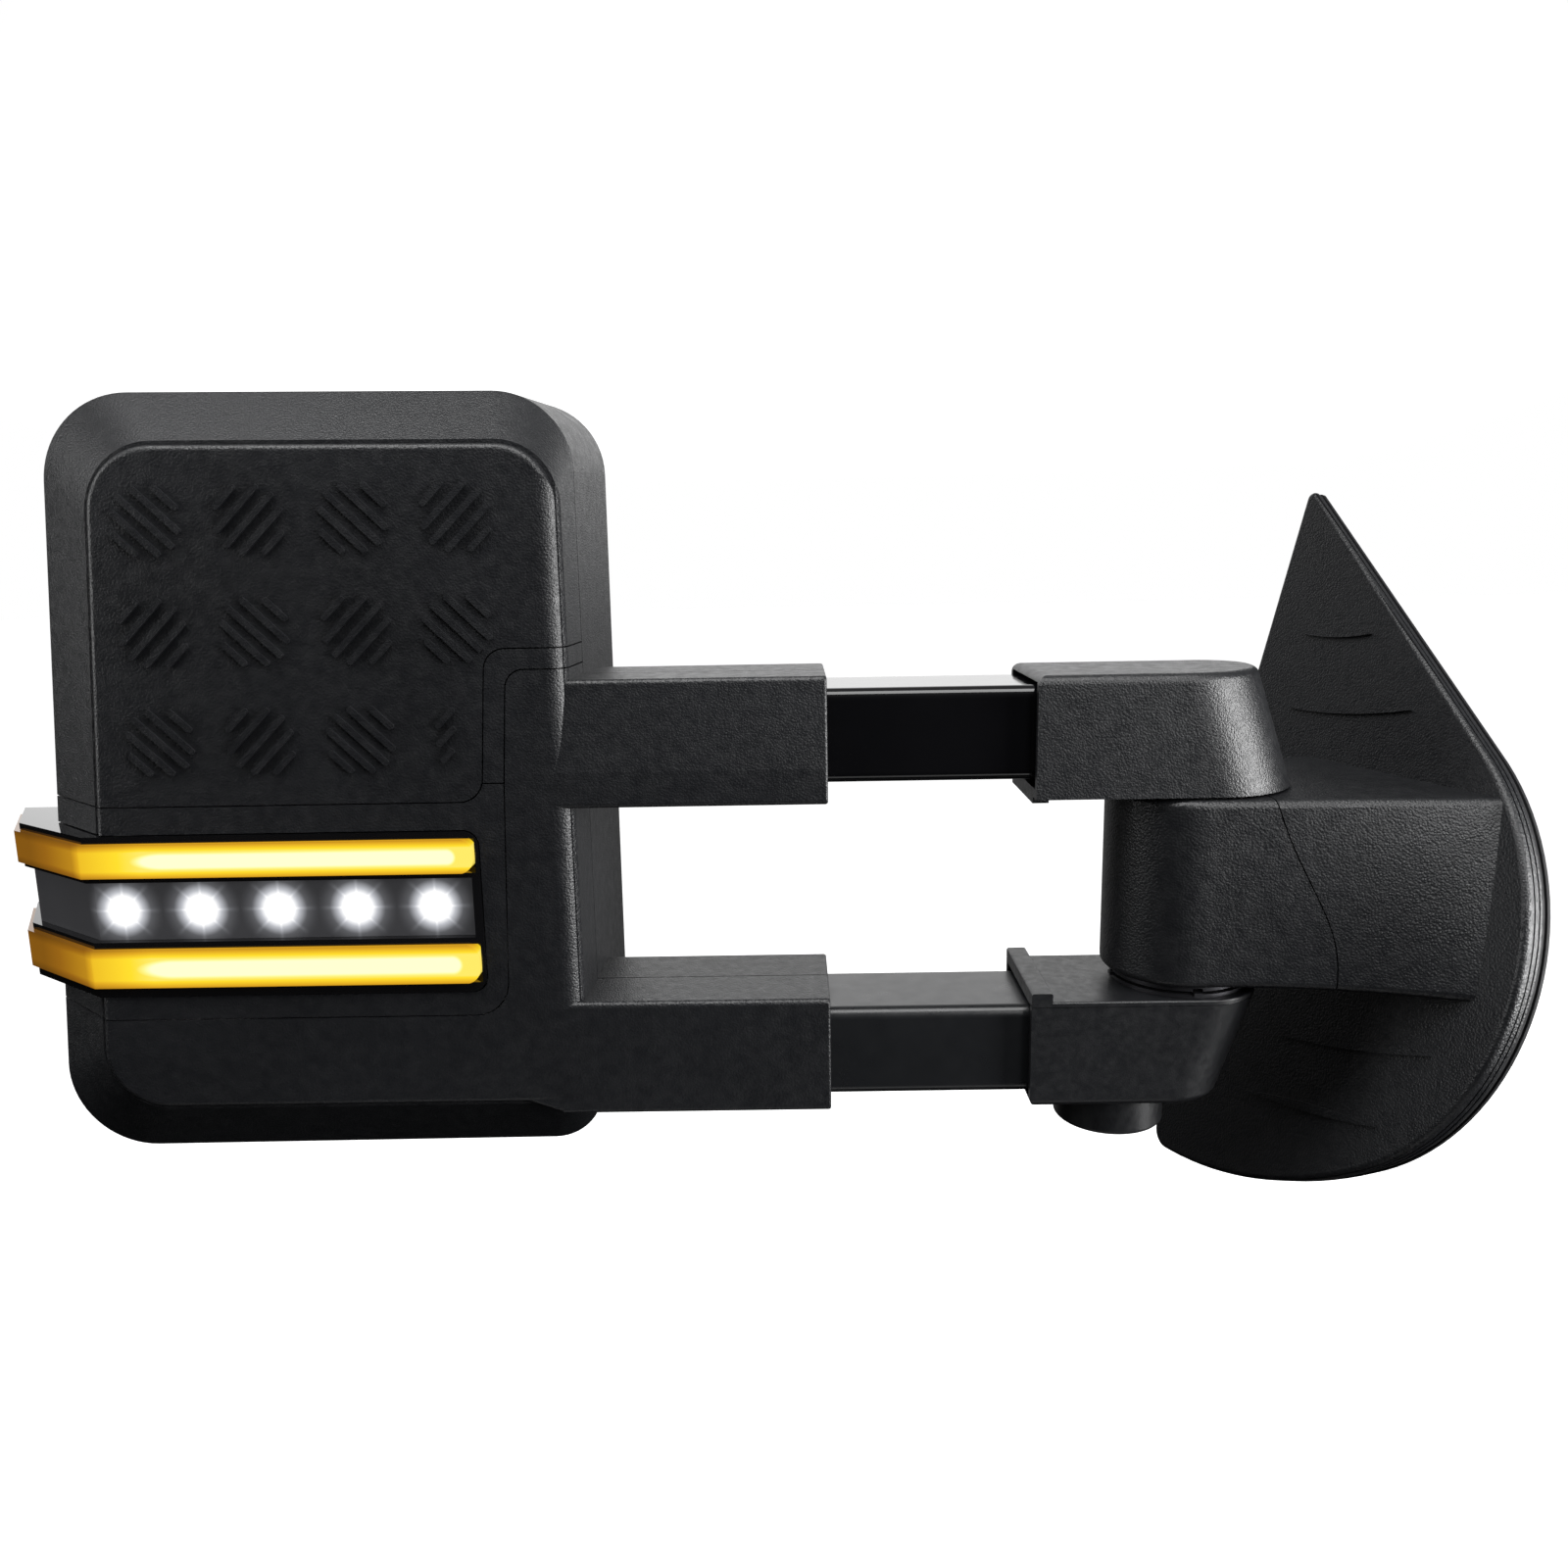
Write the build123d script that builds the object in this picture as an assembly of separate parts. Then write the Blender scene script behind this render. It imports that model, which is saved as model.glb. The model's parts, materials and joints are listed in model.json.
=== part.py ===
from build123d import *
import math
import os

os.makedirs("parts", exist_ok=True)

# Extendable towing mirror, all sizes in millimetres.
# Drawing frame: +X along the arms towards the door, +Y towards the glass, +Z up.
# Parts are exported about the centre of the door stud circle, see save().

# ---- common ----
WALL = 3.0
SLEEVE_WALL = 2.4
SEAM = 0.5
FIT = 0.05
EASY = 0.4

# ---- door face: a plane turned and leant to match the door ----
DOOR_POINT = (255.2, 0, 0)
DOOR_YAW = 19.3
DOOR_LEAN = 13.3
STUD_S = 52.0
STUD_T = -32.0
STUD_PCD = 96.0
STUD_R = 3.0
STUD_ROOT_R = 3.5
CABLE_S = 52.0
CABLE_T = -42.0
STUD_OUT = 20.0
GASKET_T = 4.0
SHELL_TALL = 10.9
SHELL_FALL_S = -0.0295
SHELL_FALL_T = -0.0057
SHELL_SKIN = 2.2
PLATE_T = 3.5

# ---- arms ----
ARM_X0 = -103.0
SLEEVE_END = 13.0
KNUCKLE_X = 89.0
TUBE_W = 44.0
TUBE_H = 35.0
TUBE_WALL = 2.5
UPPER_Z = 61.0
LOWER_Z = -62.0
TUBE_X0 = -45.0
TUBE_X1 = 138.0
ARM_FRONT = -5.0
ARM_REAR = 50.0
ARM_MID = 22.5
UPPER_SLEEVE = (36.5, 83.5)
LOWER_SLEEVE = (-83.5, -38.5)

# ---- fold pivot ----
FOLD_X = 152.0
FOLD_Y = 23.0
NECK_R = 30.0
NECK_Z = (-36.0, 36.0)
POST_R = 8.0
BUSH_R = 11.0
BOSS_R = 19.0

# ---- head ----
PAD_Y = -5.0
CREASE_Y = -2.0
BAND_Y = 22.0
SPLIT_Y = 60.0
RIM_Y = 86.0
PAD = ((-246, 170), (-80.5, 168), (-80.5, -80), (-268, -80))
FULL = ((-272.5, 189.5), (-79, 187), (-79.2, -106), (-298.5, -107))
REAR = ((-276, 192), (-76.5, 189.5), (-77, -108.5), (-301.6, -109.5))
EDGE_X = -87.8
EDGE_R = 8.0
PAD_R = (26, 22, 14, 24)
FULL_R = (34, 29, 20, 33)

# ---- lamp ----
LAMP_Z = (-33.0, 29.0)
LAMP_RIGHT = -116.0
LAMP_PLAN = ((60, -6), (-262, -6), (-302, 22), (-334, 82), (60, 82))
BAR_UPPER = (13.4, 26.4)
BAR_LOWER = (-29.0, -14.0)
BAND_LENS = (-11.5, 11.5)
LED_X = (-251.0, -222.0, -192.5, -163.5, -134.0)

# ---- mirror glass ----
PIVOT_Y = 61.0
GLASS_X = -184.0
UPPER_GLASS_Z = 70.5
LOWER_GLASS_Z = -69.5
PLUNGER_R = 28.0
GLASS_GAP = 14.0


def box(x0, x1, y0, y1, z0, z1):
    """Block between two corners."""
    solid = Box(x1 - x0, y1 - y0, z1 - z0, align=(Align.MIN, Align.MIN, Align.MIN))
    return Pos(x0, y0, z0) * solid


def rod_x(x0, x1, y, z, r):
    """Round bar along X."""
    return Pos(x0, y, z) * Rot(0, 90, 0) * Cylinder(r, x1 - x0, align=(Align.CENTER, Align.CENTER, Align.MIN))


def rod_y(x, y0, y1, z, r):
    """Round bar along Y."""
    return Pos(x, y0, z) * Rot(-90, 0, 0) * Cylinder(r, y1 - y0, align=(Align.CENTER, Align.CENTER, Align.MIN))


def rod_z(x, y, z0, z1, r):
    """Round bar along Z."""
    return Pos(x, y, z0) * Cylinder(r, z1 - z0, align=(Align.CENTER, Align.CENTER, Align.MIN))


def outline(points, radius=0):
    """Closed polygon with rounded corners."""
    if radius == 0:
        return make_face(Polyline(*points, close=True))
    return make_face(FilletPolyline(*points, radius=radius, close=True))


def along_y(face, y0, y1):
    """Face drawn in X and Z, given depth from y0 to y1."""
    return extrude(Plane((0, y1, 0), x_dir=(1, 0, 0), z_dir=(0, -1, 0)) * face, y1 - y0)


def along_z(face, z0, z1):
    """Face drawn in X and Y, given height from z0 to z1."""
    return extrude(Plane((0, 0, z0)) * face, z1 - z0)


def along_x(face, x0, x1):
    """Face drawn in Y and Z, given length from x0 to x1."""
    return extrude(Plane((x0, 0, 0), x_dir=(0, 1, 0), z_dir=(1, 0, 0)) * face, x1 - x0)


def door_plane(out=0.0, s=0.0, t=0.0):
    """Plane on the door face: s runs rearwards, t upwards, out is the distance from the door."""
    yaw = math.radians(DOOR_YAW)
    lean = math.radians(DOOR_LEAN)
    inward = (math.cos(lean) * math.cos(yaw), math.cos(lean) * math.sin(yaw), -math.sin(lean))
    rearward = (-math.sin(yaw), math.cos(yaw), 0)
    base = Plane(DOOR_POINT, x_dir=rearward, z_dir=inward)
    return Plane(base.from_local_coords((s, t, -out)), x_dir=rearward, z_dir=inward)


def off_door(face, out0, out1):
    """Face drawn on the door, standing from out0 to out1 off it."""
    return extrude(door_plane(out1) * face, out1 - out0)


def door_rod(s, t, out0, out1, r):
    """Round bar square to the door."""
    return off_door(Pos(s, t) * Circle(r), out0, out1)


ORIGIN = door_plane(0, STUD_S, STUD_T).origin


def save(name, shape):
    """Write one part about the stud circle's centre."""
    export_step(Pos(-ORIGIN.X, -ORIGIN.Y, -ORIGIN.Z) * shape, f"parts/{name}.step")


# ---------------------------------------------------------------- door bracket


def sail_outline(inset=0.0):
    """Triangular door patch: straight window edge, round front, swept lower edge."""
    apex = (132.5, 156)
    slope_end = (5, 51)
    nose = (-35.4, -33)
    chin = (9.8, -118.6)
    heel = (128, -161)
    edge = Line(apex, slope_end) + ThreePointArc(slope_end, nose, chin)
    edge += TangentArc(chin, heel, tangent=(0.80, -0.60))
    edge += Polyline(heel, (138, 60), apex)
    face = make_face(edge)
    face = fillet(face.vertices().group_by(Axis.Y)[-1], 3.2)
    face = fillet(face.vertices().group_by(Axis.Y)[0], 9)
    if inset:
        face = offset(face, amount=-inset)
    return face


def shell_height(s, t):
    """Height of the patch's outer face over the door: thin at the window edge, tall at the nose."""
    return SHELL_TALL + SHELL_FALL_S * s + SHELL_FALL_T * t


def shell_plane(below=0.0):
    """Tilted plane of the patch's outer face, or one that lies a little under it."""
    base = door_plane()
    corners = [base.from_local_coords((s, t, below - shell_height(s, t))) for s, t in ((0, 0), (1, 0), (0, 1))]
    across = corners[1] - corners[0]
    upward = corners[2] - corners[0]
    return Plane(corners[0], x_dir=across, z_dir=across.cross(upward))


def over_shell(below=0.0):
    """Everything on the outer side of the patch's face."""
    return extrude(shell_plane(below) * Rectangle(800, 800), -120)


def neck_plan(flare, inset=0.0):
    """Neck seen from above: round end about the fold pivot, flaring to the door."""
    left = FOLD_X - NECK_R
    front = FOLD_Y - NECK_R
    rear = FOLD_Y + NECK_R
    edge = ThreePointArc((FOLD_X, front), (left, FOLD_Y), (FOLD_X, rear))
    edge += TangentArc((FOLD_X, front), flare, tangent=(1, 0))
    edge += Polyline(flare, (262, 90), (214, 84))
    edge += TangentArc((FOLD_X, rear), (214, 84), tangent=(1, 0))
    face = make_face(edge)
    if inset:
        face = offset(face, amount=-inset)
    return face


FLARE_LOW = (272, -43)
FLARE_HIGH = (280, -12)


def neck_body(inset=0.0, rounding=3.0):
    """Neck whose front flares further at the bottom, with softened upper and lower edges."""
    low = Plane((0, 0, NECK_Z[0] + inset)) * neck_plan(FLARE_LOW, inset)
    high = Plane((0, 0, NECK_Z[1] - inset)) * neck_plan(FLARE_HIGH, inset)
    body = loft([low, high], ruled=True)
    if rounding:
        ends = body.faces().filter_by(Axis.Z)
        body = fillet(ends.edges().filter_by(GeomType.CIRCLE), rounding)
    return body


def sail_body():
    """Door patch with a softened outer edge and shallow grooves round its side."""
    body = off_door(sail_outline(), GASKET_T, 40) - over_shell()
    face = body.faces().sort_by(Axis((0, 0, 0), door_plane().z_dir))[0]
    body = fillet(face.edges(), 2.0)
    for low in (5.0, 7.4):
        groove = off_door(sail_outline(-2), low, low + 0.7) - off_door(sail_outline(0.7), low - 1, low + 2)
        body -= groove
    return body


def grip_rib(s0, t0, s1, t1, bulge):
    """Long lens-shaped rib on the door patch."""
    length = math.hypot(s1 - s0, t1 - t0)
    angle = math.degrees(math.atan2(t1 - t0, s1 - s0))
    upper = ThreePointArc((-length / 2, 0), (0, bulge), (length / 2, 0))
    lower = ThreePointArc((length / 2, 0), (0, -bulge), (-length / 2, 0))
    face = Pos((s0 + s1) / 2, (t0 + t1) / 2) * Rot(0, 0, angle) * make_face(upper + lower)
    return extrude(shell_plane(1.0) * face, -2.2)


GRIP_RIBS = (
    (112, 88, 72, 90, 1.6),
    (108, 54.5, 41, 61, 2.2),
    (65, -83.5, -10, -63.5, 1.8),
    (75, -113, 5, -98, 1.8),
)


PARTING_LINE = ((170, 60), (176, 36), (184, 16), (193, -2), (199, -18), (200, -36), (196, -60))


def parting(shift):
    """Region left of the curved parting line between neck cover and door patch."""
    line = Spline(*[(x + shift, z) for x, z in PARTING_LINE])
    closing = Polyline(line @ 1, (60, -60), (60, 60), line @ 0)
    return along_y(make_face(line + closing), -60, 140)


def build_door_side():
    patch = sail_body()
    for rib in GRIP_RIBS:
        patch += grip_rib(*rib)
    neck = neck_body() & off_door(sail_outline(1.5), GASKET_T, 200)
    inside_neck = neck_body(2.6, 0) & off_door(sail_outline(4.5), GASKET_T - 1, 200)
    inside_patch = off_door(sail_outline(3), GASKET_T - 1, 40) - over_shell(SHELL_SKIN)
    boss_hole = rod_z(FOLD_X, FOLD_Y, NECK_Z[0] - 5, NECK_Z[1] + 5, BOSS_R + EASY)
    neck_cover = (neck - inside_neck - boss_hole) & parting(-SEAM / 2)
    shroud = neck - parting(SEAM / 2)
    sail_shell = (patch + shroud) - inside_neck - inside_patch
    screws = bracket_screws()
    sail_shell = (sail_shell + bracket_posts()) - screws
    save("sail_shell", sail_shell)
    save("neck_cover", neck_cover)
    save("bracket_screws", screws)
    save("mount_bracket", mount_bracket())
    save("door_gasket", door_gasket())
    save("door_studs", door_studs())
    save("cable_grommet", cable_grommet())


SCREW_SPOTS = ((112, 96), (112, -128), (-8, -72), (30, 46))


def bracket_posts():
    """Screw posts inside the door patch."""
    posts = [door_rod(s, t, PLATE_T + 0.2, shell_height(s, t) - 1, 5) for s, t in SCREW_SPOTS]
    return posts[0] + posts[1:]


def bracket_screws():
    """Self-tapping screws from the door side into the posts."""
    screws = []
    for s, t in SCREW_SPOTS:
        tip = shell_height(s, t) - 1.6
        screws.append(door_rod(s, t, 0.4, tip, 1.9) + door_rod(s, t, 0.4, 1.8, 4))
    return screws[0] + screws[1:]


def stud_spots():
    """Three studs equally spaced round the stud circle."""
    spots = []
    for step in range(3):
        angle = math.radians(90 + 120 * step)
        spots.append((STUD_S + STUD_PCD / 2 * math.cos(angle), STUD_T + STUD_PCD / 2 * math.sin(angle)))
    return spots


def mount_bracket():
    """Cast bracket: door plate, arm and the boss that holds the fold post."""
    plate = off_door(sail_outline(13), 0, PLATE_T)
    arm_plan = outline([(FOLD_X, 12), (215, 2), (262, 4), (232, 78), (205, 60), (FOLD_X, 34)])
    arm = along_z(arm_plan, -22, 22) & off_door(sail_outline(13), PLATE_T - 1, 300)
    window = along_z(outline([(178, 18), (222, 14), (208, 52), (178, 30)], 3), -30, 30)
    boss = rod_z(FOLD_X, FOLD_Y, NECK_Z[0] + 2, NECK_Z[1] - 1, BOSS_R)
    part = (plate + (arm - window)) + boss
    part -= rod_z(FOLD_X, FOLD_Y, -60, 60, POST_R)
    for s, t in stud_spots():
        part -= door_rod(s, t, -1, PLATE_T + 30, STUD_ROOT_R)
        part -= door_rod(s, t, PLATE_T, PLATE_T + 30, 7)
    for s, t in SCREW_SPOTS:
        part -= door_rod(s, t, -1, PLATE_T + 1, 2.2)
        part -= door_rod(s, t, -1, 1.9, 4.4)
    part -= door_rod(CABLE_S, CABLE_T, -1, PLATE_T + 30, 8)
    return part


def door_studs():
    """Three studs with round heads and a thicker shank pressed into the plate."""
    studs = []
    for s, t in stud_spots():
        stud = door_rod(s, t, -STUD_OUT, 0, STUD_R) + door_rod(s, t, 0, PLATE_T, STUD_ROOT_R)
        studs.append(stud + door_rod(s, t, PLATE_T, PLATE_T + 2.2, 6))
    return studs[0] + studs[1:]


def door_gasket():
    """Rubber seal round the bracket plate, with two ribs along its edge."""
    seal = off_door(sail_outline(0), 0, 1.4)
    seal += off_door(sail_outline(1.4), 1.4, 2.5)
    seal += off_door(sail_outline(0.3), 2.5, GASKET_T - 0.1)
    return seal - off_door(sail_outline(12.8), -1, GASKET_T + 1)


def cable_grommet():
    """Flanged rubber grommet with an open bore."""
    part = door_rod(CABLE_S, CABLE_T, -9, PLATE_T + 2.5, 7.9)
    part += door_rod(CABLE_S, CABLE_T, PLATE_T + 0.1, PLATE_T + 2.5, 10.5)
    return part - door_rod(CABLE_S, CABLE_T, -20, 20, 5)


# ---------------------------------------------------------------- fold pivot

KNUCKLE_FLOOR = -41.0


def ring(r_out, r_in, z0, z1):
    """Washer on the fold axis."""
    return rod_z(FOLD_X, FOLD_Y, z0, z1, r_out) - rod_z(FOLD_X, FOLD_Y, z0 - 1, z1 + 1, r_in)


def detent_teeth(z0, z1, r, half_width):
    """Four radial bumps or the slots that hold them."""
    teeth = [Rot(0, 0, 90 * step) * box(r - 4, r + 4, -half_width, half_width, z0, z1) for step in range(4)]
    return Pos(FOLD_X, FOLD_Y, 0) * (teeth[0] + teeth[1:])


def build_pivot():
    post = rod_z(FOLD_X, FOLD_Y, -78, 76, POST_R)
    save("pivot_post", post)
    fixed = ring(26, BOSS_R + 0.1, NECK_Z[0] - 2.2, NECK_Z[0] - 0.1)
    save("detent_ring_fixed", fixed - detent_teeth(-39, NECK_Z[0] - 1.1, 23, 1.9))
    moving = ring(26, 12, KNUCKLE_FLOOR + 0.1, -39.4) + detent_teeth(-40, NECK_Z[0] - 2.6, 23, 1.6)
    save("detent_ring_moving", moving)
    save("upper_thrust_washer", ring(17, POST_R + FIT, NECK_Z[1] - 0.9, NECK_Z[1] + 0.9))
    save("lower_thrust_washer", ring(11.4, POST_R + FIT, NECK_Z[0] - 4.4, NECK_Z[0] + 1.9))
    save("upper_pivot_bush", ring(BUSH_R, POST_R + FIT, 38.2, 62) + ring(15, POST_R + FIT, 37.2, 39.0))
    save("lower_pivot_bush", ring(BUSH_R, POST_R + FIT, -60, KNUCKLE_FLOOR - 0.4))
    save("fold_spring", fold_spring())
    save("spring_retainer", spring_retainer())


def fold_spring():
    """Coil spring round the post under the lower knuckle's web."""
    path = Helix(pitch=4.0, height=12.0, radius=12.0)
    wire = Plane(path @ 0, z_dir=path % 0) * Circle(1.2)
    coil = sweep(wire, path, is_frenet=True)
    return Pos(FOLD_X, FOLD_Y, -75.0) * coil


def spring_retainer():
    """Flanged lock nut on the end of the post."""
    flange = ring(13.4, POST_R, -78.5, -76.6)
    nut = Pos(FOLD_X, FOLD_Y, -81) * extrude(RegularPolygon(11, 6), 2.6)
    return (flange + nut) - rod_z(FOLD_X, FOLD_Y, -90, -60, POST_R)


# ---------------------------------------------------------------- arm frame


def tube(z, x0=TUBE_X0, x1=TUBE_X1):
    """Rectangular drawn tube with rounded corners."""
    outer = Pos(TUBE_W / 2, z) * RectangleRounded(TUBE_W, TUBE_H, 4)
    inner = Pos(TUBE_W / 2, z) * RectangleRounded(TUBE_W - 2 * TUBE_WALL, TUBE_H - 2 * TUBE_WALL, 2)
    return along_x(outer - inner, x0, x1)


def tube_space(z, x0, x1, clear=0.0):
    """Solid envelope of a tube."""
    face = Pos(TUBE_W / 2, z) * RectangleRounded(TUBE_W + 2 * clear, TUBE_H + 2 * clear, 4 + clear)
    return along_x(face, x0, x1)


BOLT_X = 126.0
BOLT_R = 3.0
BOLT_TOP = 18.8


UPPER_CORNERS = (36.0, 18.0)
LOWER_CORNERS = (24.0, 24.0)


def knuckle_plan(x_end, corners, inset=0.0):
    """Knuckle seen from above: square towards the tube, round over the pivot."""
    y0 = ARM_FRONT + inset
    y1 = ARM_REAR - inset
    points = [(KNUCKLE_X, y0), (x_end - inset, y0), (x_end - inset, y1), (KNUCKLE_X, y1)]
    return outline(points, [0, corners[0] - inset, corners[1] - inset, 0])


def knuckle_block(x_bottom, x_top, span, corners, inset=0.0):
    """Knuckle whose round end leans between its lower and upper outlines."""
    low = Plane((0, 0, span[0] + inset)) * knuckle_plan(x_bottom, corners, inset)
    high = Plane((0, 0, span[1] - inset)) * knuckle_plan(x_top, corners, inset)
    return loft([low, high], ruled=True)


def soften(part, axis, side, r):
    """Round the edges of the end face on the given side of an axis."""
    face = part.faces().sort_by(axis)[side]
    return fillet(face.edges(), r)


COLLAR_R = 13.6
UPPER_KN = (37.0, 82.5)
LOWER_KN = (-83.5, -41.0)


def upper_knuckle():
    outer = soften(knuckle_block(193, 178, UPPER_KN, UPPER_CORNERS), Axis.Z, -1, 3.5)
    outer += box(KNUCKLE_X, KNUCKLE_X + 6, 2, 44, UPPER_KN[0] - 2.5, UPPER_KN[0] + 2)
    cavity = knuckle_block(193, 178, (UPPER_KN[0] + 0.5, UPPER_KN[1] + 0.5), UPPER_CORNERS, 3.0)
    part = outer - cavity - tube_space(UPPER_Z, KNUCKLE_X - 5, TUBE_X1 + 2)
    web = rod_z(FOLD_X, FOLD_Y, UPPER_KN[0] + 1, 62, COLLAR_R)
    web += box(FOLD_X, 184, FOLD_Y - 2, FOLD_Y + 2, UPPER_KN[0] + 1, 60)
    web += box(139.5, 142, ARM_FRONT + 2, ARM_REAR - 2, UPPER_KN[0] + 1, UPPER_KN[1] - 2)
    part += web - rod_z(FOLD_X, FOLD_Y, 62.01, 78, POST_R + 1)
    part -= rod_z(FOLD_X, FOLD_Y, 30, 62.1, BUSH_R)
    part -= rod_z(FOLD_X, FOLD_Y, 30, 39.2, 15.1)
    part -= rod_z(FOLD_X, FOLD_Y, 30, 77, POST_R + 1)
    part -= rod_z(BOLT_X, ARM_MID, 30, UPPER_KN[0] + 2.2, 5.1)
    return part - bolt_hole(UPPER_Z)


def lower_knuckle():
    outer = knuckle_block(166, 180, (LOWER_KN[0], LOWER_KN[1] - 2.2), LOWER_CORNERS)
    outer = soften(outer, Axis.Z, 0, 3.5)
    cavity = knuckle_block(166, 180, (LOWER_KN[0], LOWER_KN[1] + 3), LOWER_CORNERS, 3.0)
    part = outer - cavity - tube_space(LOWER_Z, KNUCKLE_X - 5, TUBE_X1 + 2)
    part += rod_z(FOLD_X, FOLD_Y, -60, LOWER_KN[1] - 2.3, COLLAR_R)
    part += box(FOLD_X, 174, FOLD_Y - 1.5, FOLD_Y + 1.5, -81, LOWER_KN[1] - 2.3)
    part -= rod_z(FOLD_X, FOLD_Y, -90, 0, BUSH_R)
    part -= rod_z(FOLD_X, FOLD_Y, -90, -60, 15)
    return part - bolt_hole(LOWER_Z)


def lower_top_plate():
    """Flat lid of the lower knuckle with a raised strip at its tube end."""
    z1 = LOWER_KN[1]
    lid = along_z(knuckle_plan(180, LOWER_CORNERS), z1 - 2.0, z1)
    lid = soften(lid, Axis.Z, -1, 0.8)
    strip = box(KNUCKLE_X, KNUCKLE_X + 8, ARM_FRONT, ARM_REAR, z1 - 1, z1 + 3.5)
    lid += fillet(strip.edges().filter_by(Axis.Y), 1.0)
    return lid - rod_z(FOLD_X, FOLD_Y, -50, 0, 12)


def bolt_hole(z):
    """Blind hole for the vertical bolt, up through a knuckle's floor and its tube."""
    return rod_z(BOLT_X, ARM_MID, z - 30, z + BOLT_TOP, BOLT_R)


def tube_bolts():
    """One through bolt for each tube, with its head below and a thin nut above."""
    bolts = []
    heads = ((UPPER_Z, UPPER_KN[0] + 0.2, UPPER_KN[0] + 2.1, 5), (LOWER_Z, LOWER_KN[0] - 4, LOWER_KN[0] - 0.1, 6))
    for z, head_low, head_high, head_r in heads:
        bolt = rod_z(BOLT_X, ARM_MID, head_low, z + BOLT_TOP, BOLT_R)
        bolt += rod_z(BOLT_X, ARM_MID, head_low, head_high, head_r)
        bolt += Pos(BOLT_X, ARM_MID, z + BOLT_TOP - 1.2) * extrude(RegularPolygon(5.5, 6), 1.2)
        bolts.append(bolt)
    return bolts[0] + bolts[1:]


def bolt_cover():
    """Round cap with a rectangular latch tab under the lower knuckle."""
    top = LOWER_KN[0] - 0.1
    cap = rod_z(BOLT_X, ARM_MID, top - 15, top, 21.5)
    cap = fillet(cap.edges().group_by(Axis.Z)[0], 1.5)
    tab = box(98, 120, ARM_MID - 9, ARM_MID + 9, top - 4.5, top)
    side_tab = box(140, 151.5, ARM_MID - 6, ARM_MID + 6, top - 4.5, top)
    part = cap + fillet(tab.edges().filter_by(Axis.Z), 2) + side_tab
    return part - rod_z(BOLT_X, ARM_MID, top - 6, top + 1, 7) - rod_z(BOLT_X, ARM_MID, top - 13, top - 8, 18)


def tube_plugs():
    """Push-in end plugs at the head end of both tubes."""
    plugs = []
    for z in (UPPER_Z, LOWER_Z):
        width = TUBE_W - 2 * TUBE_WALL - 0.2
        height = TUBE_H - 2 * TUBE_WALL - 0.2
        face = Pos(TUBE_W / 2, z) * RectangleRounded(width, height, 1.8)
        body = along_x(face, TUBE_X0, TUBE_X0 + 10)
        cap = Pos(TUBE_W / 2, z) * RectangleRounded(TUBE_W - 1, TUBE_H - 1, 3.5)
        plugs.append(body + along_x(cap, TUBE_X0 - 2, TUBE_X0))
    return plugs[0] + plugs[1:]


def build_arms():
    save("upper_tube", tube(UPPER_Z) - bolt_hole(UPPER_Z))
    save("lower_tube", tube(LOWER_Z) - bolt_hole(LOWER_Z))
    save("upper_knuckle", upper_knuckle())
    save("lower_knuckle", lower_knuckle())
    save("lower_knuckle_lid", lower_top_plate())
    save("tube_bolts", tube_bolts())
    save("bolt_cover", bolt_cover())
    save("tube_end_plugs", tube_plugs())


# ---------------------------------------------------------------- head shells


def head_face(points, radii, y, inset=0.0):
    """Head outline placed at depth y."""
    face = outline(points, list(radii))
    if inset:
        face = offset(face, amount=-inset)
    return Plane((0, y, 0), x_dir=(1, 0, 0), z_dir=(0, -1, 0)) * face


def head_solid(inset=0.0):
    """Head envelope: sloped band behind the pad, then nearly straight walls."""
    pad = head_face(PAD, PAD_R, CREASE_Y + inset, inset)
    full = head_face(FULL, FULL_R, BAND_Y, inset)
    rear = head_face(REAR, FULL_R, RIM_Y - inset, inset)
    return loft([pad, full], ruled=True) + loft([full, rear], ruled=True)


def raised_pad(inset=0.0):
    """Flat raised field on the front of the head."""
    face = offset(outline(PAD, list(PAD_R)), amount=-1.5 - inset)
    pad = along_y(face, PAD_Y + inset, CREASE_Y + inset + 1)
    if inset:
        return pad
    return soften(pad, Axis.Y, 0, 2.4)


SLEEVE_SPLIT = 50.0


def upper_sleeve_section(inset=0.0):
    """Upper sleeve: the front leans back above a ridge line."""
    z0, z1 = UPPER_SLEEVE
    front = ARM_FRONT + inset
    lean = 3.0 - inset * 0.2
    rear = ARM_REAR - inset
    return outline([(front, z0 + inset), (front, SLEEVE_SPLIT), (front + lean, z1 - inset), (rear, z1 - inset),
                    (rear, z0 + inset)])


def lower_sleeve_section(inset=0.0):
    """Lower sleeve: a plain rectangle."""
    z0, z1 = LOWER_SLEEVE
    front = ARM_FRONT + inset
    rear = ARM_REAR - inset
    return outline([(front, z0 + inset), (front, z1 - inset), (rear, z1 - inset), (rear, z0 + inset)])


def sleeve_solid(section, x0=ARM_X0):
    """Sleeve with softened long edges."""
    part = along_x(section, x0, SLEEVE_END)
    part = fillet(part.edges().filter_by(Axis.X), 2.0)
    return fillet(part.faces().sort_by(Axis.X)[-1].edges(), 1.0)


def sleeve_bores(x0=-100.0, x1=SLEEVE_END + 1):
    """Inner space of both sleeves."""
    return along_x(upper_sleeve_section(SLEEVE_WALL), x0, x1) + along_x(lower_sleeve_section(SLEEVE_WALL), x0, x1)


def skull_region():
    """Front panel field above and left of the stepped seam."""
    points = [(-360, 39.7), (-113.6, 39.7), (-109.6, 95.6), (60, 95.6), (60, 260), (-360, 260)]
    return outline(points, [0, 9, 8, 0, 0, 0])


def strip_region():
    """Narrow L-shaped strip between the skull cap and the arm housing."""
    points = [(-118, 46.6), (-105.2, 46.6), (-102.4, 88), (60, 88), (60, 97), (-118, 97)]
    return outline(points, [0, 0, 7, 0, 0, 0]) - skull_region()


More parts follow.
